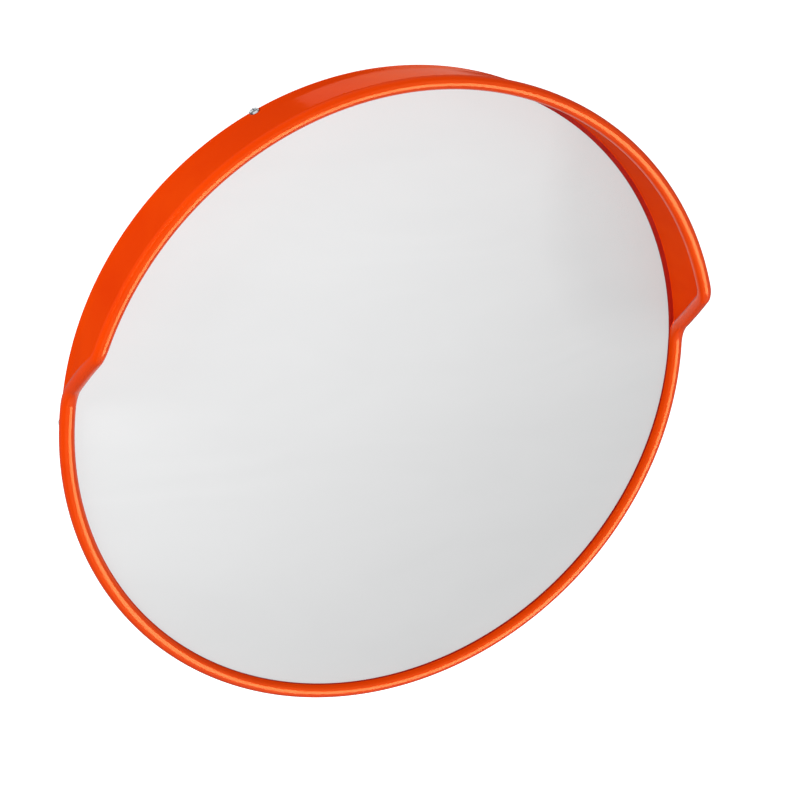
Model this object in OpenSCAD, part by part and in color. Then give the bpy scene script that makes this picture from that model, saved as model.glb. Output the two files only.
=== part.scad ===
// Round convex traffic mirror, 450 mm across, with a rain and sun visor, on a
// pan and tilt bracket that bolts to a wall.
//
// Frame: +Z is up, the mirror faces -Y and +X is to the right seen from the
// front. The origin is the middle of the wall plate's rear face.

/* [Rim] */
// Outside diameter of the round frame
frame_d = 450; // [440:1:460]
// Width of the rounded bead of the rim
bead_w = 10; // [9:0.5:10]
// How far the skirt reaches back from the rim's plane
skirt_depth = 12; // [11:0.5:14]
// Wall of the skirt below the visor
skirt_t = 2.3; // [2:0.1:2.5]
// Wall of the band that carries the visor
band_t = 3.6; // [3.4:0.1:4]

/* [Visor] */
// How far the middle of the visor's lip stands in front of the rim's plane
visor_depth = 39.5; // [34:0.5:45]
// Half sweep of the visor's front corners, in degrees from the top
visor_corner = 73.5; // [70:0.5:75]
// Half sweep of the visor's feet, where its ends run into the rim
visor_foot = 84; // [83.5:0.5:85]
// Rounding of the front corners
corner_r = 16; // [10:1:20]
// Rounding where the ends run into the rim
foot_r = 24; // [18:1:25]
// Radius of the rolled lip
lip_r = 4.6; // [4.2:0.1:4.8]
// How much wider the lip runs than the rim's bead, in radius
visor_flare = 3.5; // [3:0.5:5]
// Wall of the visor
visor_t = 2.4; // [2:0.1:2.6]

/* [Mirror sheet] */
// Radius of curvature of the domed mirror
dome_r = 1000; // [800:10:1300]
// Thickness of the mirror sheet
lens_t = 2.5; // [2:0.1:3]
// Width of the rubber ring behind the mirror's edge
gasket_w = 6.5; // [5:0.5:8]

/* [Back shell] */
// How far the shell's flat centre lies behind the rim's plane
shell_depth = 45; // [42:1:48]
// Radius of the flat centre
boss_r = 72; // [66:1:76]
// Wall of the shell
shell_t = 2.5; // [2:0.1:2.7]
// Wall of the shell's rim, which holds the screws
shell_rim_t = 4; // [3:0.5:5]
// Number of stiffening ribs on the back
rib_count = 12; // [8:2:16]

/* [Brackets] */
// Distance from the wall to the upright pan axis
wall_to_pan = 75; // [75:1:85]
// Distance from the pan axis to the level tilt axis
pan_to_tilt = 35; // [35:1:40]
// Distance from the tilt axis to the rim's plane
tilt_to_rim = 70; // [70:1:74]
// Sheet thickness of both brackets
sheet_t = 3; // [3:0.5:4]
// Clear gap between a bracket's two ears
ear_gap = 44; // [44:1:46]
// Width of the wall plate
plate_w = 100; // [96:1:104]
// Height of the wall plate
plate_h = 120; // [116:1:124]
// Distance between the wall holes across the plate
hole_dx = 76; // [70:1:76]
// Distance between the wall holes up the plate
hole_dz = 96; // [90:1:96]
// Diameter of the wall holes
hole_d = 8.5; // [6.5:0.5:9]

/* [Hidden] */
$fn = 96;

// Colours
plastic = "#E8410A";
steel = "#B9BDC0";
zinc = "#8E959A";
black = "#222222";
silver = "#DDE1E4";
nylon = "#E9E6DC";

// Small gaps: between parts that only pass each other, and inside a cut
gap = 0.1;
cut = 1;

// Rim, in the head's own frame: x right, y up, z out of the mirror
rim_r = frame_d / 2;
bead_r = bead_w / 2;
bead_c = rim_r - bead_r;
skirt_in = bead_c - 2.1;
band_out = skirt_in + band_t;
lip_seat = -0.9;
ledge_top = 1.2;
ledge_in = bead_c - bead_r + 0.2;
band_depth = skirt_depth - 1;
band_half = visor_foot + 3;

// Mirror sheet: its front meets the bead's inner edge just behind the rim's plane
lens_edge_r = skirt_in - gap;
lens_apex = sag(dome_r, bead_c - bead_r) + lip_seat - gap;
lens_centre_z = lens_apex - dome_r;

// Back shell
shell_r = skirt_in - gap;
shell_front = -6;
shell_shoulder = skirt_depth + 3;
shell_step = 2.5;
bolt_x = 14;
bolt_y = 38;
stiff_r = 58;
stiff_t = 2.5;
drain_r = 205;
drain_half = 30;

// Screws round the rim: angle from the top, height and seat radius of each
screw_angles = [-153, -90, -27, 27, 90, 153];
screw_z_band = -7.8;
screw_z_skirt = -8.4;
screw_head_band = 3.2;
screw_head_skirt = 2.9;
screw_r = 1.45;
recess_r = 4.2;
recess_depth = 0.8;

// Stack behind the shell
pad_t = 1.5;
base_back = shell_depth + pad_t + sheet_t;
washer_m6_t = 1.2;
head_m6_h = 4;
nut_m6_h = 5;

// Pivots
rim_y = wall_to_pan + pan_to_tilt + tilt_to_rim;
tilt_y = wall_to_pan + pan_to_tilt;
ear_in = ear_gap / 2;
ear_out = ear_in + sheet_t;
tube_half = 20;
tube_r = 12;
pan_bolt_r = 5;
tilt_bolt_r = 4;
fit = 0.05;
pan_sleeve_r = 7;
tilt_sleeve_r = 6;
sleeve_len = 12;
flange_r = 11;
pan_ear_r = 18;
tilt_ear_r = 16;

// Height that a sphere of radius big_r drops at a distance r from its axis
function sag(big_r, r) = big_r - sqrt(big_r * big_r - r * r);

// Height of the mirror's rear face at a distance r from the head's axis
function lens_back_z(r) = lens_centre_z + sqrt(pow(dome_r - lens_t, 2) - r * r);

// Height of the shell's sloping back at a distance r from the head's axis
back_slope = (shell_depth - shell_step - shell_shoulder) / (shell_r - 2 - boss_r - 6);
function back_z(r) = -shell_depth + shell_step + (r - boss_r - 6) * back_slope;

// ---------------------------------------------------------------- placing

// Puts the head's own frame in the part's frame
module head_place() {
    translate([0, -rim_y, 0]) rotate([90, 0, 0]) children();
}

// Turns +Z outwards along the rim's radius at an angle from the top
module at_rim(angle) {
    rotate([0, 0, -angle]) rotate([-90, 0, 0]) children();
}

// Puts a fastener that is drawn along +Z onto the pan axis
module on_pan_axis() {
    translate([0, -wall_to_pan, 0]) children();
}

// Puts a fastener that is drawn along +Z onto the tilt axis, pointing to +X
module on_tilt_axis() {
    translate([0, -tilt_y, 0]) rotate([0, 90, 0]) children();
}

// The four bracket bolts, in the head's frame
module at_bracket_bolts() {
    for (sx = [-1, 1], sy = [-1, 1])
        translate([sx * bolt_x, sy * bolt_y, 0]) children();
}

// The four wall holes, on the wall face
module at_wall_holes() {
    for (sx = [-1, 1], sz = [-1, 1])
        translate([sx * hole_dx / 2, 0, sz * hole_dz / 2]) rotate([90, 0, 0]) children();
}

// ---------------------------------------------------------------- shared shapes

// Ring of a rectangular section from r1 to r2 and from z1 to z2
module ring(r1, r2, z1, z2) {
    difference() {
        translate([0, 0, z1]) cylinder(r = r2, h = z2 - z1);
        translate([0, 0, z1 - cut]) cylinder(r = r1, h = z2 - z1 + 2 * cut);
    }
}

// Hexagon prism, across is the distance across its flats
module hex(across, h) {
    cylinder(r = across / sqrt(3), h = h, $fn = 6);
}

// Rectangle with rounded corners, centred
module round_rect(w, h, r) {
    square([w - 2 * r, h], center = true);
    square([w, h - 2 * r], center = true);
    for (sx = [-1, 1], sy = [-1, 1])
        translate([sx * (w / 2 - r), sy * (h / 2 - r)]) circle(r = r);
}

// Ear outline: a disc of radius r at the pivot, joined by its two tangents to
// a base line of half width w at a distance reach in +Y
module ear_outline(reach, w, r) {
    far = sqrt(reach * reach + w * w);
    touch = atan2(reach, w) - acos(r / far);
    circle(r = r);
    polygon([[-w, reach], [-r * cos(touch), r * sin(touch)],
             [r * cos(touch), r * sin(touch)], [w, reach]]);
}

// Disc spring washer: a shallow cone with a hole
module disc_spring(r1, r2, t, rise) {
    rotate_extrude()
        polygon([[r1, rise], [r2, 0], [r2, t], [r1, rise + t]]);
}

// Lock nut with a nylon collar, bore r, standing on z = 0
module lock_nut(across, h, r) {
    difference() {
        union() {
            hex(across, h * 0.72);
            cylinder(r = across * 0.44, h = h);
        }
        translate([0, 0, -cut]) cylinder(r = r, h = h + 2 * cut);
    }
}

// Flanged sleeve that lines one end of a tube, the flange's face at z = face
module flanged_bush(bore, sleeve, face) {
    ring(bore, sleeve, tube_half - sleeve_len, face);
    ring(bore, flange_r, tube_half, face);
}

// ---------------------------------------------------------------- visor sweep

// The bead of the visor follows a line on the rim's cylinder, rolled out flat:
// along the lip, round the corner, down the end and out into the rim.
roll_r = bead_c + visor_flare / 2;
function along(angle) = angle * PI / 180 * roll_r;
corner_s = along(visor_corner);
foot_s = along(visor_foot);
fall = atan2(visor_depth, foot_s - corner_s);
corner_cut = corner_r * tan(fall / 2);
foot_cut = foot_r * tan(fall / 2);
lip_steps = 32;
turn_steps = 6;
slope_steps = 3;

// Each entry is [distance along, height, direction]
lip_path = [for (i = [0 : lip_steps - 1])
    [(corner_s - corner_cut) * i / lip_steps, visor_depth, 0]];
corner_path = [for (i = [0 : turn_steps]) let (a = fall * i / turn_steps)
    [corner_s - corner_cut + corner_r * sin(a), visor_depth - corner_r * (1 - cos(a)), -a]];
foot_path = [for (i = [0 : turn_steps]) let (a = fall * (1 - i / turn_steps))
    [foot_s + foot_cut - foot_r * sin(a), foot_r * (1 - cos(a)), -a]];
slope_from = corner_path[turn_steps];
slope_to = foot_path[0];
slope_path = [for (i = [1 : slope_steps - 1])
    slope_from + (slope_to - slope_from) * i / slope_steps];
end_path = [[along(band_half + 1.2), 0, 0]];
half_path = concat(lip_path, corner_path, slope_path, foot_path, end_path);
half_count = len(half_path);
full_path = concat(
    [for (i = [half_count - 1 : -1 : 1])
        [-half_path[i][0], half_path[i][1], -half_path[i][2]]],
    half_path);

// Points round the rolled lip, from its inner foot over the top to its outer foot
lip_points = 11;
lip_open = asin(visor_t / 2 / lip_r);
wall_foot = -5.2;

// One cross-section of the visor: wall foot, round the lip, wall foot
function visor_section(p) =
    let (a = p[0] / roll_r * 180 / PI,
         z = p[1],
         lift = z / visor_depth,
         centre_r = bead_c + visor_flare * lift,
         grow = min(1, 3 * lift),
         wall_mid = skirt_in + skirt_t / 2 + 0.7 * grow,
         wall_half = 0.55 + 0.5 * grow,
         radial = [sin(a), cos(a), 0],
         side = [cos(a), -sin(a), 0],
         out = -sin(p[2]) * side + cos(p[2]) * [0, 0, 1],
         inner_foot = (wall_mid - wall_half) * radial + [0, 0, wall_foot],
         outer_foot = (wall_mid + wall_half) * radial + [0, 0, wall_foot],
         turn = 360 - 2 * lip_open)
    concat([inner_foot],
        [for (i = [0 : lip_points - 1])
            let (w = 270 - lip_open - turn * i / (lip_points - 1))
            centre_r * radial + [0, 0, z] + lip_r * (cos(w) * radial + sin(w) * out)],
        [outer_foot]);

module visor_shell() {
    n = lip_points + 2;
    sections = [for (p = full_path) visor_section(p)];
    points = [for (s = sections) for (q = s) q];
    last = len(sections) - 1;
    sides = [for (i = [0 : last - 1]) for (j = [0 : n - 1])
        let (a = i * n + j, b = i * n + (j + 1) % n)
        each [[a, b, a + n], [b, b + n, a + n]]];
    cap_a = [for (j = [n - 1 : -1 : 0]) j];
    cap_b = [for (j = [0 : n - 1]) last * n + j];
    polyhedron(points = points, faces = concat(sides, [cap_a, cap_b]), convexity = 10);
}

// ---------------------------------------------------------------- mirror head

// Rim below the visor: a rounded bead with a skirt behind it
module rim_profile() {
    translate([bead_c, 0]) circle(r = bead_r);
    translate([skirt_in - cut, -skirt_depth]) square([skirt_t + cut, skirt_depth]);
}

// Rim under the visor: a thicker band with a flat ledge in front of the mirror's edge
module band_profile() {
    translate([ledge_in, -band_depth])
        square([skirt_in + band_t - ledge_in, band_depth + ledge_top]);
}

// Part of a ring swept from a profile, centred on the top or on the bottom
module sweep_top(half) {
    rotate([0, 0, 90 - half]) rotate_extrude(angle = 2 * half) children();
}

module sweep_bottom(half) {
    rotate([0, 0, 270 - half]) rotate_extrude(angle = 2 * half) children();
}

module front_frame() {
    color(plastic) head_place() difference() {
        union() {
            sweep_bottom(180 - band_half + 0.3) rim_profile();
            sweep_top(band_half) band_profile();
            visor_shell();
        }
        translate([0, 0, -2 * skirt_depth]) cylinder(r = skirt_in, h = 2 * skirt_depth + lip_seat);
        for (a = screw_angles) {
            band = abs(a) < visor_foot;
            z = band ? screw_z_band : screw_z_skirt;
            translate([0, 0, z]) at_rim(a) {
                translate([0, 0, skirt_in - 5]) cylinder(r = screw_r + gap, h = 12);
                if (band) translate([0, 0, band_out - recess_depth]) cylinder(r = recess_r, h = 3);
            }
        }
    }
}

// Self-tapping screws with a cross recess, standing out along the radius
module rim_screw(seat, head_r) {
    head_h = 2.1;
    difference() {
        union() {
            translate([0, 0, seat]) cylinder(r = head_r, h = head_h * 0.6);
            translate([0, 0, seat + head_h * 0.6])
                cylinder(r1 = head_r, r2 = head_r * 0.72, h = head_h * 0.4);
            translate([0, 0, seat - 8]) cylinder(r = screw_r, h = 8);
        }
        for (turn = [0, 90]) rotate([0, 0, turn])
            translate([-head_r * 0.55, -0.45, seat + head_h * 0.35])
                cube([head_r * 1.1, 0.9, head_h]);
    }
}

module rim_screws() {
    color(steel) head_place() for (a = screw_angles) {
        band = abs(a) < visor_foot;
        seat = band ? band_out - recess_depth : skirt_in + skirt_t;
        z = band ? screw_z_band : screw_z_skirt;
        translate([0, 0, z]) at_rim(a)
            rim_screw(seat, band ? screw_head_band : screw_head_skirt);
    }
}

module dome(r) {
    translate([0, 0, lens_centre_z]) sphere(r = r, $fn = 240);
}

module mirror_lens() {
    color(silver) head_place() difference() {
        intersection() {
            dome(dome_r);
            translate([0, 0, -20]) cylinder(r = lens_edge_r, h = 80);
        }
        dome(dome_r - lens_t);
    }
}

// Rubber ring between the mirror's rear edge and the shell's rim
module lens_gasket() {
    inner_r = lens_edge_r - gasket_w;
    color(black) head_place() rotate_extrude()
        polygon([[inner_r, shell_front], [lens_edge_r, shell_front],
                 [lens_edge_r, lens_back_z(lens_edge_r)], [inner_r, lens_back_z(inner_r)]]);
}

// Outline of the shell's wall, from the rim to the axis
module shell_profile() {
    rim_in = shell_r - shell_rim_t;
    outer = [[shell_r, shell_front], [shell_r, -shell_shoulder + 2],
             [shell_r - 2, -shell_shoulder], [boss_r + 6, back_z(boss_r + 6)],
             [boss_r, -shell_depth], [0, -shell_depth]];
    inner = [[0, -shell_depth + shell_t], [boss_r - 1, -shell_depth + shell_t],
             [boss_r + 6, back_z(boss_r + 6) + shell_t], [rim_in, back_z(rim_in) + shell_t],
             [rim_in, shell_front]];
    polygon(concat(outer, inner));
}

// One rib, standing out of the sloping back along a radius
module shell_rib() {
    from = boss_r + 10;
    to = shell_r - 12;
    rib_w = 2.5;
    rib_h = 3;
    rotate([90, 0, 0]) translate([0, 0, -rib_w / 2]) linear_extrude(height = rib_w)
        polygon([[from, back_z(from) + 1], [from + rib_h, back_z(from + rib_h) - rib_h],
                 [to - 2 * rib_h, back_z(to - 2 * rib_h) - rib_h], [to, back_z(to) + 1]]);
}

module at_drains() {
    for (s = [-1, 1]) rotate([0, 0, -180 + s * drain_half]) translate([0, drain_r, 0]) children();
}

module back_shell() {
    color(plastic) head_place() difference() {
        union() {
            rotate_extrude() shell_profile();
            for (i = [0 : rib_count - 1]) rotate([0, 0, (i + 0.5) * 360 / rib_count]) shell_rib();
        }
        at_bracket_bolts() translate([0, 0, -shell_depth - cut]) cylinder(r = 3.3, h = 8);
        at_drains() translate([0, 0, -30]) cylinder(r = 4, h = 30);
        for (a = screw_angles) {
            z = abs(a) < visor_foot ? screw_z_band : screw_z_skirt;
            translate([0, 0, z]) at_rim(a) translate([0, 0, shell_r - 12])
                cylinder(r = screw_r + fit, h = 14);
        }
    }
}

// Rubber grommets with a small hole, which let rain water out of the shell
module drain_plugs() {
    color(black) head_place() at_drains() translate([0, 0, back_z(drain_r)]) {
        ring(1.5, 3.9, -2, shell_t + 2);
        ring(1.5, 6, -3.4, -1.6);
    }
}

// Steel disc inside the shell that spreads the bracket's load
module stiffener_plate() {
    color(zinc) head_place() difference() {
        translate([0, 0, -shell_depth + shell_t]) cylinder(r = stiff_r, h = stiff_t);
        at_bracket_bolts() translate([0, 0, -shell_depth]) cylinder(r = 3.3, h = 10);
        for (turn = [0 : 90 : 270]) rotate([0, 0, turn + 45])
            translate([44, 0, -shell_depth]) cylinder(r = 5, h = 10);
    }
}

module bracket_nuts() {
    color(steel) head_place() at_bracket_bolts()
        translate([0, 0, -shell_depth + shell_t + stiff_t]) difference() {
            hex(10, nut_m6_h);
            translate([0, 0, -cut]) cylinder(r = 3, h = nut_m6_h + 2 * cut);
        }
}

module bracket_washers() {
    color(steel) head_place() at_bracket_bolts()
        ring(3.2, 6, -base_back - washer_m6_t, -base_back);
}

module bracket_bolts() {
    under_head = -base_back - washer_m6_t;
    color(steel) head_place() at_bracket_bolts() {
        translate([0, 0, under_head - head_m6_h]) hex(10, head_m6_h);
        translate([0, 0, under_head]) cylinder(r = 3, h = 18);
    }
}

// Thin rubber pad between the shell and the head bracket
module bracket_pad() {
    color(black) head_place() difference() {
        translate([0, 0, -shell_depth - pad_t]) linear_extrude(height = pad_t)
            round_rect(2 * ear_out + 6, 106, 8);
        at_bracket_bolts() translate([0, 0, -shell_depth - 5]) cylinder(r = 3.3, h = 10);
    }
}

// Folded steel channel: a base with two upright ears round the tilt bolt
module head_bracket() {
    base_h = 100;
    reach = tilt_to_rim - base_back + sheet_t;
    color(zinc) difference() {
        union() {
            head_place() translate([0, 0, -base_back]) linear_extrude(height = sheet_t)
                round_rect(2 * ear_out, base_h, 4);
            for (side = [-1, 1]) on_tilt_axis()
                translate([0, 0, side * (ear_in + sheet_t / 2) - sheet_t / 2])
                    linear_extrude(height = sheet_t) rotate([0, 0, 180])
                        ear_outline(reach, 44, tilt_ear_r);
        }
        on_tilt_axis() translate([0, 0, -ear_out - cut])
            cylinder(r = tilt_bolt_r + fit, h = 2 * ear_out + 2 * cut);
        head_place() at_bracket_bolts() translate([0, 0, -base_back - cut]) cylinder(r = 3.3, h = 8);
    }
}

// ---------------------------------------------------------------- tilt pivot

module tilt_bolt() {
    washer_t = 1.6;
    color(steel) on_tilt_axis() {
        translate([0, 0, ear_out + washer_t]) hex(13, 5.3);
        translate([0, 0, -ear_out - 15]) cylinder(r = tilt_bolt_r, h = 2 * ear_out + 15 + washer_t);
    }
}

module tilt_washers() {
    color(steel) on_tilt_axis() {
        ring(4.2, 8, ear_out, ear_out + 1.6);
        ring(4.2, 8, -ear_out - 3.8, -ear_out - 2.2);
    }
}

module tilt_spring_washer() {
    color(zinc) on_tilt_axis() mirror([0, 0, 1])
        translate([0, 0, ear_out]) disc_spring(4.2, 8, 1.2, 1);
}

module tilt_nut() {
    color(steel) on_tilt_axis() mirror([0, 0, 1])
        translate([0, 0, ear_out + 3.8]) lock_nut(13, 8, tilt_bolt_r);
}

module tilt_bushes() {
    color(nylon) on_tilt_axis() for (m = [0, 1]) mirror([0, 0, m])
        flanged_bush(tilt_bolt_r + fit, tilt_sleeve_r, ear_in - gap);
}

// ---------------------------------------------------------------- knuckle

// Cast piece with an upright tube round the pan bolt, a level tube round the
// tilt bolt and a web between them
module swivel_knuckle() {
    web_w = 16;
    web_h = 28;
    color(zinc) difference() {
        union() {
            on_pan_axis() translate([0, 0, -tube_half]) cylinder(r = tube_r, h = 2 * tube_half);
            on_tilt_axis() translate([0, 0, -tube_half]) cylinder(r = tube_r, h = 2 * tube_half);
            translate([-web_w / 2, -tilt_y, -web_h / 2 + 4]) cube([web_w, pan_to_tilt, web_h - 8]);
        }
        on_pan_axis() translate([0, 0, -tube_half - cut])
            cylinder(r = pan_sleeve_r, h = 2 * tube_half + 2 * cut);
        on_tilt_axis() translate([0, 0, -tube_half - cut])
            cylinder(r = tilt_sleeve_r, h = 2 * tube_half + 2 * cut);
    }
}

// ---------------------------------------------------------------- pan pivot

module pan_bushes() {
    color(nylon) on_pan_axis() for (m = [0, 1]) mirror([0, 0, m])
        flanged_bush(pan_bolt_r + fit, pan_sleeve_r, ear_in - gap);
}

module pan_bolt() {
    washer_t = 2;
    color(steel) on_pan_axis() {
        translate([0, 0, ear_out + washer_t]) hex(17, 6.4);
        translate([0, 0, -ear_out - 18]) cylinder(r = pan_bolt_r, h = 2 * ear_out + 18 + washer_t);
    }
}

module pan_washers() {
    color(steel) on_pan_axis() {
        ring(5.2, 10, ear_out, ear_out + 2);
        ring(5.2, 10, -ear_out - 4.6, -ear_out - 2.6);
    }
}

module pan_spring_washer() {
    color(zinc) on_pan_axis() mirror([0, 0, 1])
        translate([0, 0, ear_out]) disc_spring(5.2, 10, 1.4, 1.2);
}

module pan_nut() {
    color(steel) on_pan_axis() mirror([0, 0, 1])
        translate([0, 0, ear_out + 4.6]) lock_nut(17, 10, pan_bolt_r);
}

// ---------------------------------------------------------------- wall bracket

// Wall plate with two level ears welded on, round the pan bolt
module wall_bracket() {
    color(zinc) difference() {
        union() {
            rotate([90, 0, 0]) linear_extrude(height = sheet_t)
                round_rect(plate_w, plate_h, 10);
            for (side = [-1, 1]) on_pan_axis()
                translate([0, 0, side * (ear_in + sheet_t / 2) - sheet_t / 2])
                    linear_extrude(height = sheet_t)
                        ear_outline(wall_to_pan - sheet_t / 2, 36, pan_ear_r);
        }
        on_pan_axis() translate([0, 0, -ear_out - cut])
            cylinder(r = pan_bolt_r + fit, h = 2 * ear_out + 2 * cut);
        at_wall_holes() translate([0, 0, -cut]) cylinder(r = hole_d / 2, h = sheet_t + 2 * cut);
    }
}

wall_bracket();
pan_bolt();
pan_washers();
pan_spring_washer();
pan_nut();
pan_bushes();
swivel_knuckle();
tilt_bushes();
tilt_bolt();
tilt_washers();
tilt_spring_washer();
tilt_nut();
head_bracket();
bracket_pad();
bracket_bolts();
bracket_washers();
stiffener_plate();
bracket_nuts();
back_shell();
lens_gasket();
mirror_lens();
front_frame();
rim_screws();
drain_plugs();
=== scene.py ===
"""Round convex traffic mirror on its wall bracket: the looks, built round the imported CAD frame."""

import math
from types import SimpleNamespace as Sizes

import bmesh
import bpy
import numpy as np
from mathutils import Matrix, Vector, noise

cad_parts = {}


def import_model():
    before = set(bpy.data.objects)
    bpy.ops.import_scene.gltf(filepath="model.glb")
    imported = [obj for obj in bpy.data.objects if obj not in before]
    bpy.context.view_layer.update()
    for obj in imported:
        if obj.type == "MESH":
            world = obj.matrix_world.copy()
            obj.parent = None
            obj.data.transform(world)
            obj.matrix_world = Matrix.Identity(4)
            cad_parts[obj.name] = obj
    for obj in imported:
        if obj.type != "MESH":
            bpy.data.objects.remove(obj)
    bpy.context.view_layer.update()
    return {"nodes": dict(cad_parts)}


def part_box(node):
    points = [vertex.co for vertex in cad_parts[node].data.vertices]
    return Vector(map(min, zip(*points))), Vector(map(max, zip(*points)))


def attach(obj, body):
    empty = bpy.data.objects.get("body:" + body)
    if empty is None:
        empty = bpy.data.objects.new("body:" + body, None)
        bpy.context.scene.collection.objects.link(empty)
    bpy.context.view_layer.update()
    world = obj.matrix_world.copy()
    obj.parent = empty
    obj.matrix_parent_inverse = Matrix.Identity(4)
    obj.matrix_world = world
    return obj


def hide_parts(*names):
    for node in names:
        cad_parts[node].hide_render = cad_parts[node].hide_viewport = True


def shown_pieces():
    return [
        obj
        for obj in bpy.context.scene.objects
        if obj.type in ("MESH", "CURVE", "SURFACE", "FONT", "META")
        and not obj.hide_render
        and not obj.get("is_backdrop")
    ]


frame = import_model()

# ------------------------------------------------------------------ sizes
# Millimetres, in the mirror head's own frame: x right, y up, z out of the mirror.
MM = 0.001
BEAD_C = 220.0          # radius of the bead's centre line
BEAD_R = 5.0            # radius of the rim's bead
SKIRT_IN = 217.9        # bore of the skirt that holds the mirror and the shell
SKIRT_OUT = 220.2
SKIRT_DEPTH = 12.0
BAND_OUT = 221.5        # outside of the thicker band under the visor
BAND_DEPTH = 11.0
BAND_HALF = 87.0        # the band's half sweep, in degrees from the top
SEAT_Z = -0.9           # underside of the lip that the mirror's edge bears on
LEDGE_MID = 0.15
LEDGE_TOP = 1.2
LEDGE_IN = 215.2
LIP_R = 4.6             # radius of the visor's rolled lip
LIP_HALF = 1.2          # half the visor's wall where it runs into the lip
VISOR_DEPTH = 39.5
VISOR_FLARE = 3.5
VISOR_CORNER = 73.5     # degrees from the top
VISOR_FOOT = 84.0
CORNER_R = 16.0
FOOT_R = 24.0
WALL_IN = 218.7         # inner foot of the visor's wall
DOME_R = 1000.0
LENS_T = 2.5
SCREW_ANGLES = (-153, -90, -27, 27, 90, 153)
SCREW_Z_BAND = -7.8
SCREW_Z_SKIRT = -8.4
SCREW_R = 1.45
SCREW_HOLE_R = 1.55
SCREW_SUNK = 0.8        # how deep the recesses round the two screws in the band are
SHELL_R = 217.8         # outside of the back moulding
SHELL_FRONT = -6.0
SHELL_BACK = -45.0
SHELL_T = 2.5
BOSS_R = 72.0           # flat round middle of the back
RIM_T = 4.0
RIBS = 12
RIB_H = 3.0
DRAIN_R = 205.0         # the two drains, and how far they stand from the bottom
DRAIN_HALF = 30.0
EAR_OUT = 25.0          # outsides of both brackets' ears
PLATE_T = 3.0           # thickness of the wall plate and of its ears
M6_SEAT = -50.7         # under the heads of the four bracket bolts
M6_X, M6_Y = 14.0, 38.0     # and how far they stand from the middle

# Metres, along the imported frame's Y: the rim's plane, and the wall's distance from each pivot.
RIM_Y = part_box("front_frame")[1].y - SKIRT_DEPTH * MM
WALL_TO_PAN = -sum(v.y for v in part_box("pan_bolt")) / 2
WALL_TO_TILT = -sum(v.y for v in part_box("tilt_bolt")) / 2


# ------------------------------------------------------------------ placing
def head(p):
    """The head's own frame."""
    return (p[0] * MM, RIM_Y - p[2] * MM, p[1] * MM)


def on_pan(p):
    """Along +z on the upright pan axis."""
    return (p[0] * MM, p[1] * MM - WALL_TO_PAN, p[2] * MM)


def on_tilt(p):
    """Along +z on the level tilt axis, which points to +X."""
    return (p[2] * MM, p[1] * MM - WALL_TO_TILT, -p[0] * MM)


def at_rim(angle, z):
    """Along +z outwards on the rim's radius, at an angle from the top and a height z."""
    s, c = math.sin(math.radians(angle)), math.cos(math.radians(angle))
    return lambda p: head((p[0] * c + p[2] * s, -p[0] * s + p[2] * c, z - p[1]))


def along(place, x=0.0, y=0.0, z=0.0, flip=1):
    """The same placing moved to (x, y, z), with z turned round where flip is -1."""
    return lambda p: place((x + p[0], y + p[1], z + flip * p[2]))


# ------------------------------------------------------------------ mesh tools
class Maker:
    """Collects grids of points in millimetres and makes one object of them."""

    def __init__(self, place):
        self.place, self.points, self.faces, self.slots = place, [], [], []

    def grid(self, rows, wrap_u=False, wrap_v=False, slot=0):
        """rows[u][v] is a point. wrap_u joins the last row to the first, wrap_v the last column."""
        base, nu, nv = len(self.points), len(rows), len(rows[0])
        self.points += [self.place(p) for row in rows for p in row]
        for u in range(nu if wrap_u else nu - 1):
            for v in range(nv if wrap_v else nv - 1):
                u1, v1 = (u + 1) % nu, (v + 1) % nv
                quad = [base + u * nv + v, base + u * nv + v1, base + u1 * nv + v1, base + u1 * nv + v]
                self.faces.append(quad)
                self.slots.append(slot)

    def lathe(self, profile, turns, slot=0, closed=True):
        """Turns a profile of (radius, z) round the z axis. A closed one is a ring's section."""
        self.turned(lambda a: profile, turns, slot, closed)

    def turned(self, profile_at, turns, slot=0, closed=False):
        """Turns a profile of (r, z) that changes with the angle, as profile_at(angle) gives it."""
        rows = []
        for i in range(turns):
            a = 2 * math.pi * i / turns
            rows.append([(r * math.cos(a), r * math.sin(a), z) for r, z in profile_at(a)])
        self.grid(rows, wrap_u=True, wrap_v=closed, slot=slot)

    def piece(self, name, body, materials, sharp, replaces=(), slot=None):
        """Makes the object. It rides on body and stands for the nodes in replaces; slot is not used."""
        mesh = bpy.data.meshes.new(name)
        mesh.from_pydata(self.points, [], self.faces)
        mesh.polygons.foreach_set("material_index", self.slots)
        bm = bmesh.new()
        bm.from_mesh(mesh)
        bmesh.ops.remove_doubles(bm, verts=bm.verts, dist=0.000002)
        bmesh.ops.dissolve_degenerate(bm, edges=bm.edges, dist=0.000002)
        bmesh.ops.recalc_face_normals(bm, faces=bm.faces)
        bm.to_mesh(mesh)
        bm.free()
        obj = bpy.data.objects.new(name, mesh)
        bpy.context.scene.collection.objects.link(obj)
        for m in materials:
            mesh.materials.append(m)
        smooth(obj, sharp)
        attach(obj, body)
        if replaces:
            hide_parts(*replaces)
        return obj


def smooth(obj, sharp):
    """Smooth shading, with edges sharper than this angle in degrees left sharp."""
    obj.data.shade_smooth()
    obj.data.set_sharp_from_angle(angle=math.radians(sharp))


def smoothstep(x, low, high):
    t = min(1.0, max(0.0, (x - low) / (high - low)))
    return t * t * (3 - 2 * t)


def mix(a, b, t):
    return a + (b - a) * t


def rounded(chain, radii):
    """An open chain of (r, z) whose inner corners are eased. radii holds one for each inner corner."""
    steps = 4
    points = [np.array(p, float) for p in chain]
    made = [points[0]]
    for before, corner, after, radius in zip(points, points[1:], points[2:], radii):
        a, b = before - corner, after - corner
        la, lb = max(1e-9, np.linalg.norm(a)), max(1e-9, np.linalg.norm(b))
        start, end = corner + a * min(radius / la, 0.45), corner + b * min(radius / lb, 0.45)
        for i in range(steps + 1):
            t = i / steps
            made.append((1 - t) ** 2 * start + 2 * t * (1 - t) * corner + t * t * end)
    made.append(points[-1])
    return made


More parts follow.
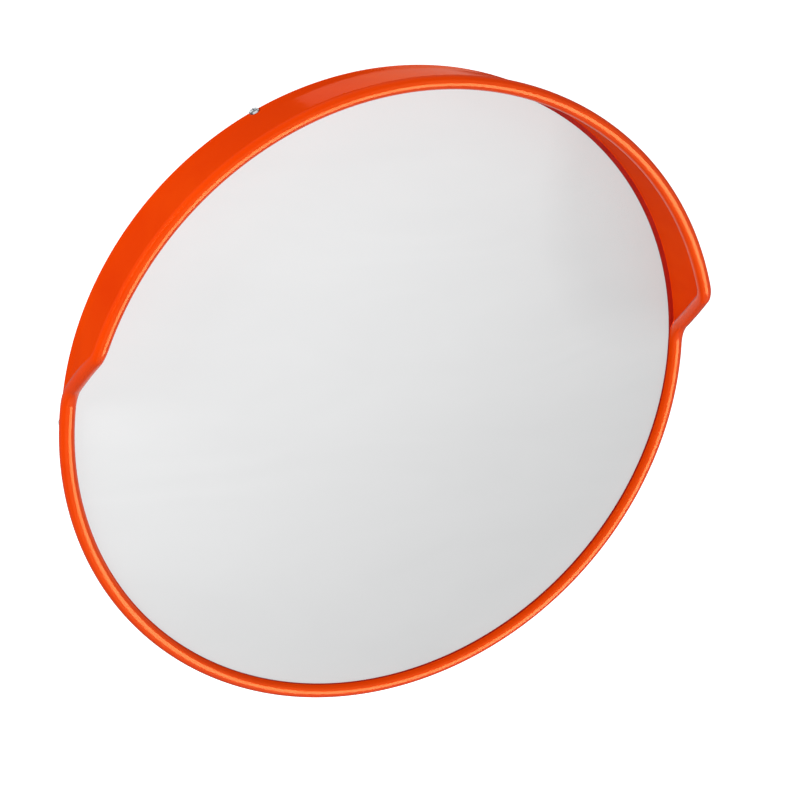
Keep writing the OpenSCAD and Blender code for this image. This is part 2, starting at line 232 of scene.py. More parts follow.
def cut_holes(obj, holes):
    """Cuts round stepped holes out of obj. Each is (placing, lowest z, one (radius, top z) per step)."""
    tool = Maker(lambda p: p)
    for place, z, *steps in holes:
        tool.place = place
        profile = [(0, z)]
        for radius, top in steps:
            profile += [(radius, z), (radius, top)]
            z = top
        tool.lathe(profile + [(0, z)], 48, closed=False)
    mesh = bpy.data.meshes.new("cutter")
    mesh.from_pydata(tool.points, [], tool.faces)
    bm = bmesh.new()
    bm.from_mesh(mesh)
    bmesh.ops.remove_doubles(bm, verts=bm.verts, dist=0.000002)
    bmesh.ops.recalc_face_normals(bm, faces=bm.faces)
    bm.to_mesh(mesh)
    bm.free()
    cutter = bpy.data.objects.new("cutter", mesh)
    bpy.context.scene.collection.objects.link(cutter)
    cutter.hide_render = True
    modifier = obj.modifiers.new("holes", "BOOLEAN")
    modifier.operation, modifier.solver, modifier.object = "DIFFERENCE", "EXACT", cutter
    apply_modifiers(obj)
    bpy.data.objects.remove(cutter)


def apply_modifiers(obj):
    bpy.context.view_layer.update()
    evaluated = obj.evaluated_get(bpy.context.evaluated_depsgraph_get())
    mesh = bpy.data.meshes.new_from_object(evaluated)
    obj.modifiers.clear()
    obj.data = mesh


# ------------------------------------------------------------------ materials
def map_range(tree, value, *numbers, kind="LINEAR"):
    """numbers are from min, from max, to min and to max."""
    node = tree.nodes.new("ShaderNodeMapRange")
    node.interpolation_type = kind
    for socket, number in zip(("From Min", "From Max", "To Min", "To Max"), numbers):
        node.inputs[socket].default_value = number
    tree.links.new(value, node.inputs["Value"])
    return node.outputs["Result"]


class Nodes:
    """Short hand for building one material's node tree."""

    def __init__(self, name):
        self.material = bpy.data.materials.new(name)
        self.material.use_nodes = True
        self.tree = self.material.node_tree
        self.shader = self.tree.nodes["Principled BSDF"]
        coordinates = self.tree.nodes.new("ShaderNodeTexCoord")
        self.place = coordinates.outputs["Object"]

    def link(self, output, socket):
        self.tree.links.new(output, socket)

    def set(self, **values):
        for name, value in values.items():
            self.shader.inputs[name.replace("_", " ")].default_value = value

    def noise(self, scale, detail=4.0, rough=0.55, distort=0.0, stretch=None):
        node = self.tree.nodes.new("ShaderNodeTexNoise")
        node.inputs["Scale"].default_value = scale
        node.inputs["Detail"].default_value = detail
        node.inputs["Roughness"].default_value = rough
        node.inputs["Distortion"].default_value = distort
        if stretch:
            mapping = self.tree.nodes.new("ShaderNodeMapping")
            mapping.inputs["Scale"].default_value = stretch
            self.link(self.place, mapping.inputs["Vector"])
            self.link(mapping.outputs["Vector"], node.inputs["Vector"])
        else:
            self.link(self.place, node.inputs["Vector"])
        return node.outputs["Fac"]

    def cells(self, scale):
        """A flat random colour in each cell."""
        node = self.tree.nodes.new("ShaderNodeTexVoronoi")
        node.inputs["Scale"].default_value = scale
        self.link(self.place, node.inputs["Vector"])
        return node.outputs["Color"]

    def ramp(self, value, *stops):
        """Colour ramp of (place, colour) stops."""
        node = self.tree.nodes.new("ShaderNodeValToRGB")
        while len(node.color_ramp.elements) < len(stops):
            node.color_ramp.elements.new(0.5)
        for element, (at, colour) in zip(node.color_ramp.elements, stops):
            element.position = at
            element.color = (*colour, 1)
        self.link(value, node.inputs["Fac"])
        return node.outputs["Color"]

    def spread(self, value, low, high):
        """Stretches a noise, which mostly lies between 0.3 and 0.7, from low to high."""
        return map_range(self.tree, value, 0.3, 0.7, low, high)

    def multiply(self, share, colour_a, colour_b):
        node = self.tree.nodes.new("ShaderNodeMix")
        node.data_type, node.blend_type = "RGBA", "MULTIPLY"
        node.inputs[0].default_value = share
        self.link(colour_a, node.inputs[6])
        self.link(colour_b, node.inputs[7])
        return node.outputs[2]

    def bump(self, value, depth_mm, after=None):
        node = self.tree.nodes.new("ShaderNodeBump")
        node.inputs["Strength"].default_value = 1.0
        node.inputs["Distance"].default_value = depth_mm * MM
        self.link(value, node.inputs["Height"])
        if after is not None:
            self.link(after, node.inputs["Normal"])
        return node.outputs["Normal"]

    def finish(self, colour, roughness, normal=None):
        for output, name in ((colour, "Base Color"), (roughness, "Roughness"), (normal, "Normal")):
            if output is not None:
                self.link(output, self.shader.inputs[name])
        return self.material


WARM = (1.0, 0.55, 0.16, 1)     # tint of the plastic's own gloss


def orange_plastic(name, gloss, clear, sheen):
    """Injection-moulded plastic: faint flow marks and a fine orange-peel skin under a gloss.

    gloss is the plastic's own warm shine, clear the colourless one and sheen a touch of pearl pigment.
    """
    n = Nodes(name)
    n.set(IOR=1.48, Specular_IOR_Level=gloss, Specular_Tint=WARM)
    n.set(Coat_Weight=clear, Coat_Roughness=0.08, Coat_IOR=1.5, Metallic=sheen)
    flow = n.noise(9, 3, 0.5, 0.6, stretch=(1, 1, 2.5))
    colour = n.ramp(flow, (0.30, (0.83, 0.046, 0.0004)), (0.70, (0.89, 0.060, 0.0008)))
    rough = n.spread(n.noise(60, 5, 0.6), 0.13, 0.19)
    skin = n.bump(n.noise(900, 2, 0.5), 0.006)
    return n.finish(colour, rough, n.bump(n.noise(140, 2, 0.5), 0.012, skin))


def painted_shade_plastic():
    """The same plastic, coloured dark red and dull in the narrow seat beside the mirror: painted shade
    standing in for the shadow there.
    """
    n = Nodes("painted_shade_plastic")
    n.set(IOR=1.48, Specular_IOR_Level=0.1)
    # dark red base colour: painted shade, darker than the plastic is under any lamp
    colour = n.ramp(n.noise(80, 4, 0.6), (0.30, (0.36, 0.006, 0.0004)), (0.70, (0.46, 0.010, 0.0006)))
    return n.finish(colour, n.spread(n.noise(60, 5, 0.6), 0.50, 0.65), n.bump(n.noise(400, 2, 0.5), 0.01))


def shell_plastic():
    """The same plastic with the finer spark-eroded texture of the back."""
    n = Nodes("shell_plastic")
    n.set(IOR=1.48, Specular_IOR_Level=0.3, Specular_Tint=WARM)
    flow = n.noise(7, 4, 0.55, 0.8)
    colour = n.ramp(flow, (0.30, (0.76, 0.040, 0.0010)), (0.70, (0.84, 0.055, 0.0015)))
    rough = n.spread(n.noise(90, 4, 0.6), 0.30, 0.42)
    return n.finish(colour, rough, n.bump(n.noise(1500, 3, 0.6), 0.03))


def mirror_sheet():
    """Domed acrylic sheet, silvered: a mirror with a trace of haze and wiping."""
    n = Nodes("mirror_sheet")
    n.set(Metallic=0.78, IOR=1.49)
    haze = n.noise(5, 5, 0.6, 1.2, stretch=(1, 1, 3))
    colour = n.ramp(haze, (0.25, (0.86, 0.865, 0.87)), (0.75, (0.89, 0.895, 0.90)))
    rough = n.spread(n.noise(30, 6, 0.65, 0.6), 0.02, 0.06)
    return n.finish(colour, rough)


def zinc_steel():
    """Hot-dip galvanised sheet: large soft spangles and a dull grey bloom."""
    n = Nodes("zinc_steel")
    n.set(Metallic=0.9, IOR=1.5)
    spangle = n.cells(130)
    grey = n.ramp(n.noise(55, 5, 0.6, 0.4), (0.3, (0.50, 0.52, 0.54)), (0.7, (0.62, 0.64, 0.66)))
    tone = n.ramp(spangle, (0.1, (0.80, 0.81, 0.83)), (0.9, (1.0, 1.0, 1.0)))
    colour = n.multiply(0.9, grey, tone)
    rough = n.spread(n.noise(90, 4, 0.6), 0.32, 0.46)
    return n.finish(colour, rough, n.bump(n.noise(420, 4, 0.6), 0.012))


def weld_metal():
    """Cold-galvanised weld: duller and darker than the sheet beside it."""
    n = Nodes("weld_metal")
    n.set(Metallic=0.8, IOR=1.5)
    colour = n.ramp(n.noise(300, 5, 0.65), (0.3, (0.30, 0.31, 0.32)), (0.7, (0.50, 0.51, 0.52)))
    return n.finish(colour, n.spread(n.noise(250, 4, 0.6), 0.40, 0.60), n.bump(n.noise(900, 3, 0.6), 0.03))


def bright_steel():
    """Bright zinc-plated fasteners, a little patchy."""
    n = Nodes("bright_steel")
    n.set(Metallic=1.0, IOR=1.5)
    patches = n.ramp(n.noise(220, 4, 0.6), (0.3, (0.58, 0.60, 0.62)), (0.7, (0.74, 0.75, 0.77)))
    rough = n.spread(n.noise(500, 3, 0.6), 0.20, 0.34)
    return n.finish(patches, rough)


def spring_steel():
    """Blued spring steel."""
    n = Nodes("spring_steel")
    n.set(Metallic=1.0, IOR=1.5)
    patches = n.ramp(n.noise(260, 4, 0.6), (0.3, (0.20, 0.20, 0.23)), (0.7, (0.32, 0.32, 0.34)))
    return n.finish(patches, n.spread(n.noise(400, 3, 0.6), 0.26, 0.42))


def cast_metal():
    """Sand-cast aluminium with a grainy skin."""
    n = Nodes("cast_metal")
    n.set(Metallic=0.85, IOR=1.5)
    patches = n.ramp(n.noise(60, 6, 0.65), (0.3, (0.36, 0.37, 0.38)), (0.7, (0.50, 0.51, 0.52)))
    grain = n.bump(n.noise(700, 3, 0.6), 0.03)
    return n.finish(patches, n.spread(n.noise(300, 4, 0.6), 0.46, 0.62), grain)


def nylon():
    """Off-white turned nylon."""
    n = Nodes("nylon")
    n.set(IOR=1.53, Subsurface_Weight=0.15, Subsurface_Scale=0.002)
    colour = n.ramp(n.noise(180, 3, 0.5), (0.3, (0.74, 0.71, 0.62)), (0.7, (0.82, 0.80, 0.72)))
    return n.finish(colour, n.spread(n.noise(260, 3, 0.5), 0.36, 0.50), n.bump(n.noise(900, 2, 0.5), 0.01))


def rubber():
    """Black rubber with a dusty bloom."""
    n = Nodes("rubber")
    n.set(IOR=1.52, Sheen_Weight=0.12, Sheen_Roughness=0.5)
    colour = n.ramp(n.noise(90, 5, 0.65), (0.3, (0.010, 0.010, 0.011)), (0.75, (0.030, 0.030, 0.031)))
    return n.finish(colour, n.spread(n.noise(150, 4, 0.6), 0.62, 0.80), n.bump(n.noise(1300, 3, 0.6), 0.03))


ORANGE = orange_plastic("orange_plastic", 0.0, 0.045, 0.08)
LIP = orange_plastic("polished_lip", 0.5, 0.0, 0.0)
PAINTED_SHADE, SHELL = painted_shade_plastic(), shell_plastic()
MIRROR, ZINC, WELD = mirror_sheet(), zinc_steel(), weld_metal()
BRIGHT, SPRING, CAST, NYLON, RUBBER = bright_steel(), spring_steel(), cast_metal(), nylon(), rubber()


# ------------------------------------------------------------------ front frame
ROLL_R = BEAD_C + VISOR_FLARE / 2
CORNER_S = math.radians(VISOR_CORNER) * ROLL_R
FOOT_S = math.radians(VISOR_FOOT) * ROLL_R
FALL = math.atan2(VISOR_DEPTH, FOOT_S - CORNER_S)


def visor_edge(angle):
    """Height and slope of the lip's centre line at an angle from the top, on the rolled-out rim."""
    s = math.radians(abs(angle)) * ROLL_R
    past_corner = s - (CORNER_S - CORNER_R * math.tan(FALL / 2))
    before_end = FOOT_S + FOOT_R * math.tan(FALL / 2) - s
    if past_corner <= 0:
        return VISOR_DEPTH, 0.0
    if past_corner < CORNER_R * math.sin(FALL):
        slope = math.asin(past_corner / CORNER_R)
        return VISOR_DEPTH - CORNER_R * (1 - math.cos(slope)), slope
    if before_end <= 0:
        return 0.0, 0.0
    if before_end < FOOT_R * math.sin(FALL):
        slope = math.asin(before_end / FOOT_R)
        return FOOT_R * (1 - math.cos(slope)), slope
    return (FOOT_S - s) * math.tan(FALL), FALL


def frame_section(angle):
    """Outline at an angle from the top: skirt or band, ledge, visor wall and bead, as (r, z)."""
    height, slope = visor_edge(angle)
    band = 1 - smoothstep(abs(angle), BAND_HALF - 0.5, BAND_HALF + 0.3)
    lift = height / VISOR_DEPTH
    centre = BEAD_C + VISOR_FLARE * lift
    radius = mix(BEAD_R, LIP_R, smoothstep(height, 0, 8))
    tall = radius / math.cos(slope)
    outer = mix(SKIRT_OUT, BAND_OUT, band)
    rear = -mix(SKIRT_DEPTH, BAND_DEPTH, band)
    opening = math.asin(LIP_HALF / radius)
    draft = 0.8 * band

    def bead(a):
        return (centre + radius * math.cos(a), height + tall * math.sin(a))

    def bead_inner(z):
        reach = (z - height) / tall
        return centre - radius * math.sqrt(max(0.0, 1 - reach * reach))

    lowest = height - tall * math.cos(opening)
    if lowest > LEDGE_TOP:
        first = 1.5 * math.pi - opening
        last = mix(-math.acos((outer - centre) / radius), -0.25, lift)
        foot_in = (WALL_IN, LEDGE_TOP)
        foot_out = (outer, LEDGE_TOP)
    else:
        first = math.pi + math.asin(max(-1.0, min(1.0, (height - LEDGE_TOP) / tall)))
        last = -math.acos(min(1.0, (outer - centre) / radius))
        foot_in = (bead_inner(LEDGE_TOP) - 0.01, LEDGE_TOP)
        foot_out = (outer, min(LEDGE_TOP, bead(last)[1] - 0.3))
    seat_in = min(LEDGE_IN, bead_inner(SEAT_Z)) if height < tall else LEDGE_IN
    mid_in = min(LEDGE_IN, bead_inner(LEDGE_MID)) if height < tall else LEDGE_IN
    top_in = min(LEDGE_IN, foot_in[0])
    ease = math.radians(20)
    seam = (SKIRT_IN + 0.9, rear)
    inner = rounded(
        [seam, (SKIRT_IN, rear), (SKIRT_IN, SEAT_Z), (seat_in, SEAT_Z), (mid_in, LEDGE_MID),
         (top_in, LEDGE_TOP), foot_in, bead(first), bead(first - ease)],
        [0.3, 0.2, 0.5, 0.5, 0.6, 1.0, 2.0])
    steps = 26
    arc = [bead(mix(first - ease, last + ease, i / steps)) for i in range(1, steps)]
    outside = rounded(
        [bead(last + ease), bead(last), foot_out, (outer - draft, rear), seam],
        [1.4, 4.0, 2.2])
    return [tuple(p) for p in inner] + arc + [tuple(p) for p in outside[:-1]]


SEAT_COLUMNS = (10, 27)     # the points of the outline that make the seat and ledge beside the mirror; their faces take the dark plastic painted as shade
BEAD_COLUMNS = (36, 62)     # and those that make the bead


def front_frame():
    stations = 720
    rows = []
    for i in range(stations):
        angle = -180 + 360 * i / stations
        s, c = math.sin(math.radians(angle)), math.cos(math.radians(angle))
        rows.append([(r * s, r * c, z) for r, z in frame_section(angle)])
    m = Maker(head)
    m.grid(rows, wrap_u=True, wrap_v=True)
    columns = len(rows[0])
    for i in range(len(m.faces)):
        column = i % columns
        # seat and ledge faces get the dark red plastic: painted shade
        if SEAT_COLUMNS[0] <= column < SEAT_COLUMNS[1]:
            m.slots[i] = 1
        elif BEAD_COLUMNS[0] <= column < BEAD_COLUMNS[1]:
            m.slots[i] = 2
    finishes = [ORANGE, PAINTED_SHADE, LIP]
    obj = m.piece("visor_frame", "mirror_head", finishes, 30, ["front_frame"], "orange_plastic")
    holes = []
    for angle in SCREW_ANGLES:
        if abs(angle) < VISOR_FOOT:
            seat, recess_r = BAND_OUT - SCREW_SUNK, 4.2
            steps = [(SCREW_HOLE_R, seat), (recess_r, seat + 5)]
            holes.append((at_rim(angle, SCREW_Z_BAND), SKIRT_IN - 5, *steps))
        else:
            holes.append((at_rim(angle, SCREW_Z_SKIRT), SKIRT_IN - 5, (SCREW_HOLE_R, SKIRT_IN + 9)))
    cut_holes(obj, holes)
    smooth(obj, 30)
    return obj


# ------------------------------------------------------------------ mirror
def mirror_dome():
    lens_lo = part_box("mirror_lens")[0]
    apex = (RIM_Y - lens_lo.y) / MM
    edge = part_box("mirror_lens")[1].x / MM

    def front(r):
        return apex - DOME_R + math.sqrt(DOME_R ** 2 - r * r)

    def back(r):
        return apex - DOME_R + math.sqrt((DOME_R - LENS_T) ** 2 - r * r)

    rings = 56
    face = [(edge * i / rings, front(edge * i / rings)) for i in range(rings)]
    rim = [(edge - 0.3, front(edge - 0.3)), (edge, front(edge) - 0.35), (edge, back(edge) + 0.3),
           (edge - 0.3, back(edge - 0.3))]
    rear = [(edge * i / 14, back(edge * i / 14)) for i in range(13, -1, -1)]
    m = Maker(head)
    m.lathe(face + rim + rear, 256, closed=False)
    m.piece("mirror_dome", "mirror_head", [MIRROR], 40, ["mirror_lens"], "mirror_sheet")


# ------------------------------------------------------------------ back moulding
STEP_R = 78.0               # foot of the step round the flat middle
STEP_Z = -42.5
BACK_SLOPE = 0.19956
SHOULDER_R = 215.8          # rear corner of the rim
RIB_FROM, RIB_FULL = 82.0, 85.4     # a rib starts, and has its full height
RIB_FADE, RIB_TO = 199.0, 205.4     # it begins to sink, and ends


def back_z(r):
    """Height of the sloping back at a radius."""
    return STEP_Z + (r - STEP_R) * BACK_SLOPE


def shell_outline():
    """Outer and inner wall from the axis behind to the axis inside, as (r, z)."""
    rim_in = SHELL_R - RIM_T
    boss = rounded([(66, SHELL_BACK), (BOSS_R, SHELL_BACK), (STEP_R, STEP_Z), (81, back_z(81))], [2.5, 2.5])
    rise = [RIB_FROM, 82.8, 83.6, 84.4, RIB_FULL]
    fall = [RIB_FADE, 200.6, 202.2, 203.8, RIB_TO, 210]
    slope = [(r, back_z(r)) for r in [*rise, *range(90, 199, 9), *fall]]
    shoulder = rounded([(212, back_z(212)), (SHOULDER_R, back_z(SHOULDER_R)), (SHELL_R, -13),
                        (SHELL_R, SHELL_FRONT), (rim_in, SHELL_FRONT)], [1.2, 1.2, 0.5])
    inside = [(rim_in, SHELL_FRONT - 0.4), (rim_in, back_z(rim_in) + SHELL_T + 0.5),
              (rim_in - 0.5, back_z(rim_in) + SHELL_T), (STEP_R, STEP_Z + SHELL_T),
              (BOSS_R - 1, SHELL_BACK + SHELL_T), (30, SHELL_BACK + SHELL_T), (0, SHELL_BACK + SHELL_T)]
    return [(0, SHELL_BACK), (30, SHELL_BACK)] + boss + slope + shoulder + inside


def back_moulding():
    """The back with its ribs. Each rib has columns of points at fixed distances from its middle line."""
    outline = shell_outline()
    reach = 3.2
    across = [(-reach, 0.0), (-2.3, 0.03), (-1.75, 0.14), (-1.35, 0.5), (-1.15, 0.85), (-0.75, 0.98)]
    across.append((0.0, 1.0))
    across += [(-s, h) for s, h in reversed(across[:-1])]
    columns = [(s, h, 0.0) for s, h in across] + [(0.0, 0.0, k / 9) for k in range(1, 9)]
    rows = []
    for i in range(RIBS):
        middle, step = (i + 0.5) * 2 * math.pi / RIBS, 2 * math.pi / RIBS
        for s, share, between in columns:
            row = []
            for r, z in outline:
                per_mm = 1 / max(r, 60)
                turn = mix(reach * per_mm, step - reach * per_mm, between) if between else s * per_mm
                if z < back_z(r) + 1 and RIB_FROM <= r <= RIB_TO:
                    ends = smoothstep(r, RIB_FROM, RIB_FULL) * (1 - smoothstep(r, RIB_FADE, RIB_TO))
                    z -= RIB_H * share * ends
                row.append((r * math.cos(middle + turn), r * math.sin(middle + turn), z))
            rows.append(row)
    m = Maker(head)
    m.grid(rows, wrap_u=True)
    obj = m.piece("back_moulding", "mirror_head", [SHELL], 30, ["back_shell"], "orange_plastic")
    holes = [(along(head, x, y), SHELL_BACK - 1, (3.3, SHELL_BACK + 5))
             for x in (-M6_X, M6_X) for y in (-M6_Y, M6_Y)]
    for angle in (-math.radians(DRAIN_HALF), math.radians(DRAIN_HALF)):
        drain = along(head, DRAIN_R * math.sin(angle), -DRAIN_R * math.cos(angle))
        holes.append((drain, -30, (4.0, 0)))
    for angle in SCREW_ANGLES:
        place = at_rim(angle, SCREW_Z_BAND if abs(angle) < VISOR_FOOT else SCREW_Z_SKIRT)
        holes.append((place, SHELL_R - 12, (SCREW_HOLE_R, SHELL_R + 2)))
    cut_holes(obj, holes)
    smooth(obj, 30)


# ------------------------------------------------------------------ fasteners
TURNS = 72                  # sides of a round on the fasteners


def hex_radius(flats, angle):
    """Distance from the axis to a hexagon's side at an angle. Its corners stand at 0, 60 and so on."""
    return flats / 2 / math.cos(angle % (math.pi / 3) - math.pi / 6)


def bolt(m, flats, head_h, shank_r, length, threaded, pitch):
    """Chamfered hexagon bolt: its head stands on z = 0 and its threaded shank points down."""
    face, depth = 0.475 * flats, 0.58 * pitch
    steps = round(8 * threaded / pitch)

    def profile(a):
        corner = hex_radius(flats, a)
        made = [(0, head_h - 0.3), (face * 0.6, head_h - 0.3), (face * 0.66, head_h), (face, head_h),
                (corner, head_h - (corner - face) * 0.55), (corner, 0.4), (face, 0), (shank_r + 0.3, 0),
                (shank_r, -0.3), (shank_r, threaded - length)]
        for k in range(1, steps):
            z = threaded * (1 - k / steps) - length
            groove = abs(2 * ((z / pitch - a / (2 * math.pi)) % 1) - 1)
            radius = shank_r - depth * groove * smoothstep(k, 0, 8)
            made.append((min(radius, shank_r - depth + z + length), z))
        return made + [(shank_r - depth, -length), (0, -length)]

    m.turned(profile, TURNS)


def lock_nut(m, flats, hex_h, height, bore, collar):
    """Nut that stands on z = 0 and points up, with a rolled collar round a nylon ring."""
    face = 0.475 * flats

    def profile(a):
        corner = hex_radius(flats, a)
        drop = (corner - face) * 0.55
        return [(bore - 0.3, 0.2), (bore + 0.4, 0), (face, 0), (corner, drop), (corner, hex_h - drop),
                (face, hex_h), (collar + 0.15, hex_h), (collar, hex_h + 0.2), (collar, height - 1.1),
                (collar - 0.35, height - 0.35), (collar - 1.0, height), (bore + 1.2, height),
                (bore + 1.0, height - 0.5), (bore - 0.3, height - 0.9)]

    m.turned(profile, TURNS, closed=True)
    m.lathe([(bore - 0.2, height - 1.6), (bore + 1.1, height - 1.6), (bore + 1.05, height - 0.35),
             (bore + 0.1, height - 0.25), (bore - 0.2, height - 0.6)], TURNS, slot=1)


def washer(m, inner, outer, z0, z1, dish=0.0):
    """Ring with eased edges. dish lifts its inner edge."""
    e = 0.22
    section = [(inner, z0 + e), (inner + e, z0), (outer - e, z0), (outer, z0 + e), (outer, z1 - e),
               (outer - e, z1), (inner + e, z1), (inner, z1 - e)]
    m.lathe([(r, z + dish * (outer - r) / (outer - inner)) for r, z in section], TURNS)


def pan_screw(m, head_r):
    """Small pan-head screw that stands on z = 0, with a cross recess."""
    def profile(a):
        made, rings = [], 22
        for k in range(rings + 1):
            r = head_r * 0.94 * k / rings
            narrow, long = sorted((abs(r * math.cos(a)), abs(r * math.sin(a))))
            arms = 1 - smoothstep(narrow, 0.30, 0.52)
            reach = 1 - smoothstep(long, 0.50 * head_r, 0.60 * head_r)
            made.append((r, 2.1 - 0.5 * (r / head_r) ** 2 - 1.1 * arms * reach))
        return made + [(head_r, 1.15), (head_r, 0.25), (head_r - 0.25, 0), (SCREW_R, 0), (SCREW_R, -7.3),
                       (0.8, -8), (0, -8)]

    m.turned(profile, 64)


# Both pivots. past_ear is how far the bolt runs on beyond the ear, spring is (thickness, rise) and nut is
# (height of the hexagon, whole height, radius of the collar).
PAN = Sizes(name="pan", place=on_pan, bolt_r=5, flats=17, head_h=6.4, pitch=1.5, threaded=24, past_ear=18,
            washer_t=2, spring=(1.4, 1.2), nut=(7.2, 10, 7.5))
TILT = Sizes(name="tilt", place=on_tilt, bolt_r=4, flats=13, head_h=5.3, pitch=1.25, threaded=20, past_ear=15,
             washer_t=1.6, spring=(1.2, 1.0), nut=(5.76, 8, 5.7))


def spring_out(p):
    """How far out the disc spring reaches from the middle between the ears."""
    return EAR_OUT + sum(p.spring)


def pivot_bolt(p):
    m = Maker(along(p.place, z=EAR_OUT + p.washer_t))
    bolt(m, p.flats, p.head_h, p.bolt_r, 2 * EAR_OUT + p.washer_t + p.past_ear, p.threaded, p.pitch)
    m.piece(p.name + "_pivot_bolt", "knuckle", [BRIGHT], 30, [p.name + "_bolt"], "bright_steel")


def pivot_nut(p):
    hex_h, height, collar = p.nut
    m = Maker(along(p.place, z=-spring_out(p) - p.washer_t, flip=-1))
    lock_nut(m, p.flats, hex_h, height, p.bolt_r, collar)
    m.piece(p.name + "_lock_nut", "knuckle", [BRIGHT, NYLON], 30, [p.name + "_nut"], "bright_steel")


def pivot_washers(p):
    bore, outer = p.bolt_r + 0.2, 2 * p.bolt_r
    m = Maker(p.place)
    washer(m, bore, outer, EAR_OUT, EAR_OUT + p.washer_t)
    washer(m, bore, outer, -spring_out(p) - p.washer_t, -spring_out(p))
    m.piece(p.name + "_flat_washers", "knuckle", [BRIGHT], 30, [p.name + "_washers"], "bright_steel")


def pivot_spring(p):
    thickness, rise = p.spring
    m = Maker(along(p.place, z=-EAR_OUT, flip=-1))
    washer(m, p.bolt_r + 0.2, 2 * p.bolt_r, 0, thickness, dish=rise)
    m.piece(p.name + "_disc_spring", "knuckle", [SPRING], 30, [p.name + "_spring_washer"], "spring_steel")


def bracket_fasteners():
    bolts, washers = Maker(head), Maker(head)
    for x in (-M6_X, M6_X):
        for y in (-M6_Y, M6_Y):
            bolts.place = washers.place = along(head, x, y, M6_SEAT, flip=-1)
            bolt(bolts, flats=10, head_h=4, shank_r=3, length=18, threaded=13, pitch=1.0)
            washer(washers, inner=3.2, outer=6, z0=-1.2, z1=0)
    bolts.piece("m6_bolts", "mirror_head", [BRIGHT], 30, ["bracket_bolts"], "bright_steel")
    washers.piece("m6_washers", "mirror_head", [BRIGHT], 30, ["bracket_washers"], "bright_steel")


def rim_screws():
    screws = Maker(head)
    for angle in SCREW_ANGLES:
        in_band = abs(angle) < VISOR_FOOT
        rim = at_rim(angle, SCREW_Z_BAND if in_band else SCREW_Z_SKIRT)
        screws.place = along(rim, z=BAND_OUT - SCREW_SUNK if in_band else SKIRT_OUT)
        pan_screw(screws, head_r=3.2 if in_band else 2.9)
    screws.piece("cross_head_screws", "mirror_head", [BRIGHT], 40, ["rim_screws"], "bright_steel")


def weld_beads():
    """Rippled fillet welds, along both sides of the two ears on the wall plate."""
    m = Maker(lambda p: (p[0] * MM, p[1] * MM, p[2] * MM))
    steps, half, ripple_pitch = 220, 35.0, 1.7
    for z in (-EAR_OUT, PLATE_T - EAR_OUT, EAR_OUT - PLATE_T, EAR_OUT):
        rows = []
        for k in range(steps + 1):
            x = mix(-half, half, k / steps)
            end = math.sqrt(max(0.0, 1 - abs(x / half) ** 12))
            wander = noise.noise(Vector((x * 0.12, z, 0)))
            ripple = 0.16 * abs(math.sin(math.pi * (x + wander) / ripple_pitch))
            radius = (2.0 + 0.25 * wander + ripple) * end
            angles = [2 * math.pi * j / 16 for j in range(16)]
            rows.append([(x, radius * math.cos(a) - PLATE_T, z + radius * math.sin(a)) for a in angles])
        m.grid(rows, wrap_v=True)
    m.piece("weld_beads", "wall_mount", [WELD], 50, slot="zinc_steel")


visor_frame = front_frame()
visor_frame.visible_glossy = False
mirror_dome()
back_moulding()
for make in (pivot_bolt, pivot_nut, pivot_washers, pivot_spring):
    make(PAN)
    make(TILT)
bracket_fasteners()
rim_screws()
weld_beads()

# ------------------------------------------------------------------ carried-over CAD nodes
FINISHES = {
    "wall_bracket": (ZINC, 0.7), "head_bracket": (ZINC, 0.7), "stiffener_plate": (ZINC, 0.4),
    "bracket_nuts": (BRIGHT, 0.3), "swivel_knuckle": (CAST, 1.2), "pan_bushes": (NYLON, 0.3),
    "tilt_bushes": (NYLON, 0.3), "bracket_pad": (RUBBER, 0.35), "lens_gasket": (RUBBER, 0.3),
    "drain_plugs": (RUBBER, 0.4),
}


def dress(name, finish, ease):
    """Gives a carried-over CAD node its finish and, with modifiers, rounded edges."""
    obj = frame["nodes"][name]
    obj.data.materials.clear()
    obj.data.materials.append(finish)
    join = obj.modifiers.new("join", "WELD")
    join.merge_threshold = 0.001 * MM
    flats = obj.modifiers.new("flats", "DECIMATE")
    flats.decimate_type, flats.angle_limit = "DISSOLVE", math.radians(1)
    bevel = obj.modifiers.new("edges", "BEVEL")
    bevel.width, bevel.segments = ease * MM, 3
    bevel.limit_method, bevel.angle_limit = "ANGLE", math.radians(35)
    bevel.harden_normals = True


for name, (finish, ease) in FINISHES.items():
    dress(name, finish, ease)


# ------------------------------------------------------------------ stage and light
def unit(x, y, z):
    return Vector((x, y, z)).normalized()


CENTRE = Vector((0, RIM_Y, 0))
FLOOR_Z = -1.25


